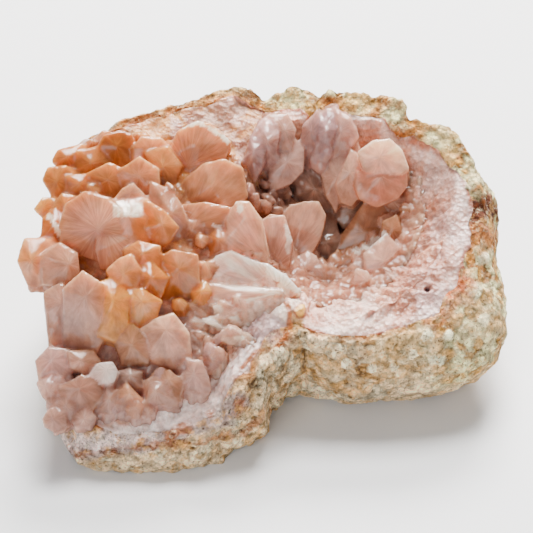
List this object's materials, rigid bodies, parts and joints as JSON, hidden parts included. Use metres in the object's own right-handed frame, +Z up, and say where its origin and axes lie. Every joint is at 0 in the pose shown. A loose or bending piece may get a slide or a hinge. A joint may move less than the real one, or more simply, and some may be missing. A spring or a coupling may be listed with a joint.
{
  "type": "amethyst geode",
  "caption": "Broken-open geode on a flat spot: knobbly cream rind, pale fibrous quartz wall, crystal-lined hollow and a mound of large peach crystals.",
  "frame": {"origin": "on the flat spot that the stone rests on, at the middle of its base", "axes": "+X to the right along the longest extent, the crystal mound on the left and the hollow on the right; +Y to the back, where the broken face is highest; +Z up"},
  "size_m": [0.1056, 0.0809, 0.0473],
  "materials": {
    "rind": "rough, knobbly and dry",
    "quartz_wall": "fibrous, slightly glossy broken quartz",
    "hollow_crystals": "glossy, faintly see-through crystal",
    "crystal_cluster": "glossy, faintly see-through crystal"
  },
  "bodies": {
    "root": {"rind": "rind", "quartz_wall": "quartz_wall", "hollow_crystals": "hollow_crystals", "crystal_cluster": "crystal_cluster"}
  },
  "joints": []
}
